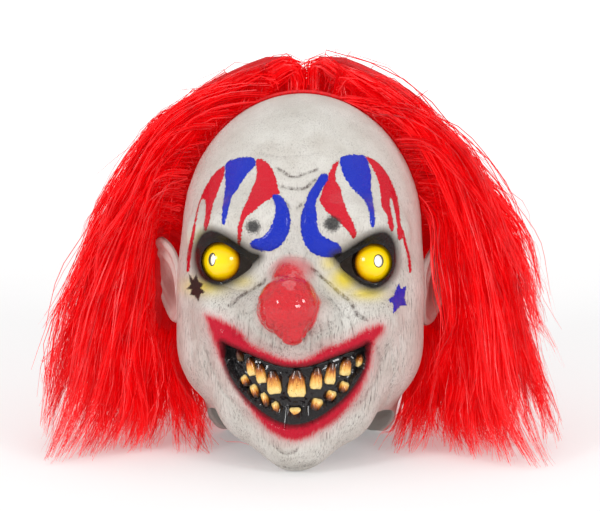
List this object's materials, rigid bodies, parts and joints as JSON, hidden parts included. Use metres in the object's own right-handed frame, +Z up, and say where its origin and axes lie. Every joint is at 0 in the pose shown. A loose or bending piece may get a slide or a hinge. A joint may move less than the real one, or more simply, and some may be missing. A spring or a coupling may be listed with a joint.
{
  "type": "clown mask",
  "caption": "Full-head latex clown mask, hollow and open at the neck, with a ball nose, seated eyes and teeth, and a long red wig; stands on its chin and nape.",
  "frame": {"origin": "middle of the box round the whole mask, on the table it stands on", "axes": "+Z up from the table, -Y out of the face, +X to the viewer's right as the viewer looks at the face; the mask stands on its chin and nape and leans back"},
  "size_m": [0.3956, 0.2868, 0.2934],
  "materials": {
    "latex": "cast latex, airbrushed, satin",
    "eye": "gloss",
    "tooth": "gloss, shaded brown at the root",
    "hair": "synthetic wig fibre, soft sheen"
  },
  "bodies": {
    "root": {"face_shell": "latex", "skull_shell": "latex", "eye_dome_left": "eye", "eye_dome_right": "eye", "upper_tooth_1": "tooth", "upper_tooth_2": "tooth", "upper_tooth_3": "tooth", "upper_tooth_4": "tooth", "upper_tooth_5": "tooth", "upper_tooth_6": "tooth", "upper_tooth_7": "tooth", "upper_tooth_8": "tooth", "upper_tooth_9": "tooth", "lower_tooth_1": "tooth", "lower_tooth_2": "tooth", "lower_tooth_3": "tooth", "lower_tooth_4": "tooth", "lower_tooth_5": "tooth", "lower_tooth_6": "tooth", "lower_tooth_7": "tooth", "lower_tooth_8": "tooth", "hair": "hair"}
  },
  "joints": []
}
